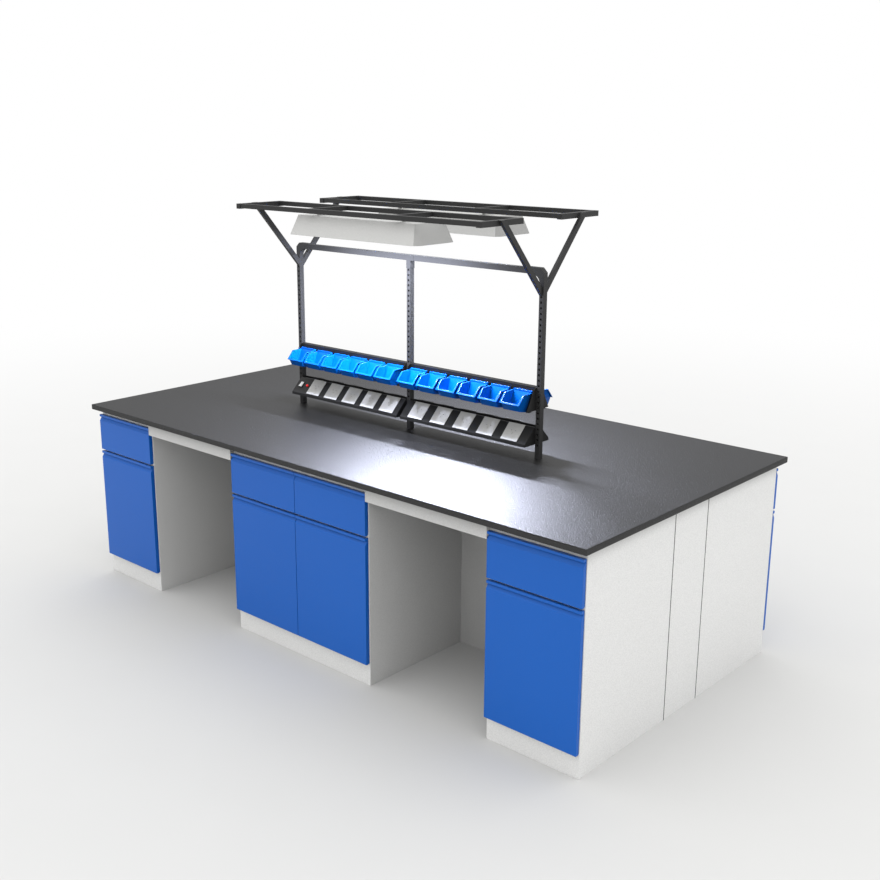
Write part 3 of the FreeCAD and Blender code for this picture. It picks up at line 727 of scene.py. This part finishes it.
# %% [markdown]
# ## Floor
#
# The floor is pale and takes a wide, soft shadow. Far from the bench it fades to plain white, so
# that it meets the room with no horizon. A curved backdrop would do that too, but it would have
# an end. The fade is an emission that only camera, glossy and transmission rays see, so it puts
# no extra light on the bench.


# %% Floor that fades into the room
floor_width = 120
fade_start, fade_end = 2.0, 9.0
white = (1, 1, 1, 1)


def floor_finish():
    finish = Finish("studio_floor")
    distance = finish.node("VectorMath", {"operation": "LENGTH"}, {0: finish.place()}).of("Value")
    fade = distance.between(fade_start, fade_end)
    speck = finish.noise(scale=3, detail=2)
    base = finish.mix(speck, colour(213, 213, 212), colour(215, 215, 214))
    matt = finish.node("BsdfDiffuse", None, {"Color": base})
    plain = finish.node("Emission", None, {"Color": white, "Strength": 1.0})
    rays = finish.node("LightPath")
    seen = rays.of("Is Camera Ray") + rays.of("Is Glossy Ray") + rays.of("Is Transmission Ray")
    shown = finish.node("MixShader", None, {0: fade * seen, 1: matt, 2: plain})
    finish.node("OutputMaterial", None, {"Surface": shown})
    return finish.owner


bpy.ops.mesh.primitive_plane_add(size=floor_width)
floor = bpy.context.object
floor.name = "floor"
floor.data.materials.append(floor_finish())
floor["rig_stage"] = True
print("the floor fades from", fade_start, "to", fade_end, "metres")

# %% [markdown]
# ## Room light
#
# The bench stands in an even white room whose ceiling is brighter than its walls, so the light
# comes from all round with only soft shadows. The camera sees this room as plain white. Glossy
# surfaces see its walls darker, as in a studio where only the ceiling is lit, and that keeps
# the black rack and the worktop from turning pale. One bounce of diffuse light leaves the knee
# spaces as dark as they should be.


# %% Room light
def room(at_horizon, overhead, below, horizon_in_gloss):
    """A world whose brightness rises from the horizon to straight overhead."""
    finish = Finish("room", "worlds")
    rays = finish.node("LightPath")
    towards = finish.node("TexCoord").of("Generated")
    height = finish.node("SeparateXYZ", None, {0: towards}).of("Z")
    horizon = rays.of("Is Glossy Ray").ramp(0.0, 1.0, at_horizon, horizon_in_gloss)
    above = height.ramp(0.0, 1.0, horizon, overhead)
    level = height.ramp(-0.01, 0.0, below, above)
    lit = finish.node("Background", None, {"Color": white, "Strength": level})
    plain = finish.node("Background", None, {"Color": white, "Strength": 1.0})
    seen = finish.node("MixShader", None, {0: rays.of("Is Camera Ray"), 1: lit, 2: plain})
    finish.node("OutputWorld", None, {"Surface": seen})
    return finish.owner


scene.world = room(at_horizon=0.9, overhead=1.55, below=0.7, horizon_in_gloss=0.35)
scene.cycles.diffuse_bounces = 1
scene.view_settings.view_transform = "Standard"
print("the room has", len(scene.world.node_tree.nodes), "nodes")

# %% [markdown]
# ## Lamp light
#
# Each lamp lights what hangs right under it much more than the rest, and it shows as a glare on
# the worktop. One light can't be set to do all of that, so each lamp has three area lights. Two
# of them light without showing in gloss: a strong one for the rack, its bins and its sockets,
# and a weak one for all the rest. The third is narrow and bright, and shows only as a reflection
# on the new pieces. Light linking gives each light its own collection of pieces.


# %% A light that reaches some pieces
lamp_tint = (0.78, 0.82, 1.0)
below_panel = 0.004
panel_low, panel_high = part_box("lamp_diffusers")


def lamp_light(name, out, depth, watts, reached):
    """An area light under a lamp that lights only a named collection of pieces."""
    light = bpy.data.lights.new(name, "AREA")
    light.shape = "RECTANGLE"
    light.size, light.size_y = panel_high.x - panel_low.x, depth
    light.color = lamp_tint
    light.energy = watts
    thing = bpy.data.objects.new(name, light)
    thing.location = (0, out, panel_low.z - below_panel)
    scene.collection.objects.link(thing)
    thing.visible_camera = False
    thing.light_linking.receiver_collection = reached
    return thing


def collection_of(name, things):
    """A collection for light linking. It isn't shown by itself."""
    made = bpy.data.collections.new(name)
    for thing in things:
        made.objects.link(thing)
    print(name, len(things), "pieces")
    return made


everything = [*nodes.values(), *new_pieces]
near_the_lamps = ("_bin_", "socket", "rack_", "lamp_arms")
close = [thing for thing in everything if any(part in thing.name for part in near_the_lamps)]
close_pieces = collection_of("close_under_the_lamps", close)
far_pieces = collection_of("beside_the_lamps", [t for t in everything if t not in close])
glossy_pieces = collection_of("shows_the_lamps", new_pieces)

# %% [markdown]
# ## The two lamps
#
# The lamps hang at the same distance to both sides of the rack. The far lamp's glare makes one
# bright field in front of the rack, cut off straight where the rack hides the lamp. The near
# lamp would put a second glare beside it and blur that edge, so its glare is kept low.


# %% Six lights
tube_depth, board_depth, lamp_out = 0.05, 0.09, 0.2605
close_watts, far_watts = 54.0, 12.0
for side, out, glare_watts in (("front", -lamp_out, 38.0), ("back", lamp_out, 205.0)):
    glare = lamp_light(side + "_lamp_glare", out, tube_depth, glare_watts, glossy_pieces)
    glare.visible_diffuse = False
    for reach, watts, reached in (("close", close_watts, close_pieces),
                                  ("far", far_watts, far_pieces)):
        light = lamp_light(side + "_light_" + reach, out, board_depth, watts, reached)
        light.visible_glossy = False
print(len(everything), "pieces are lit, and", len(new_pieces), "show the lamps' glare")

# %% [markdown]
# ## Camera
#
# The camera stands at the right-hand front corner, above head height, and looks down along the
# bench. Its lens and its small shift come from the same picture size as the render, 880 pixels
# square: a focal length of 1155 pixels is 47 mm on a 36 mm sensor.


# %% Camera
picture = 880
focal_pixels = 1155.4
centre_across, centre_down = 410.57, 429.40
yaw, pitch = -0.747585, -0.262475
standpoint = (3.53429, -3.81111, 2.29078)

lens = bpy.data.cameras.new("camera")
lens.sensor_width = 36.0
lens.lens = focal_pixels / picture * lens.sensor_width
lens.shift_x = (picture / 2 - centre_across) / picture
lens.shift_y = (centre_down - picture / 2) / picture
lens.clip_end = 300
camera = bpy.data.objects.new("camera", lens)
camera.location = standpoint
camera.rotation_euler = (math.pi / 2 + pitch, 0, -yaw)
scene.collection.objects.link(camera)
scene.camera = camera
print("lens", round(lens.lens, 2), "mm, shift", round(lens.shift_x, 4), round(lens.shift_y, 4))

# %% [markdown]
# ## The finished model's box
#
# The box around everything that is shown, leaving out the floor, is worked out last.
# New pieces may not make the bench bigger.

# %% The box around the finished model
low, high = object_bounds()
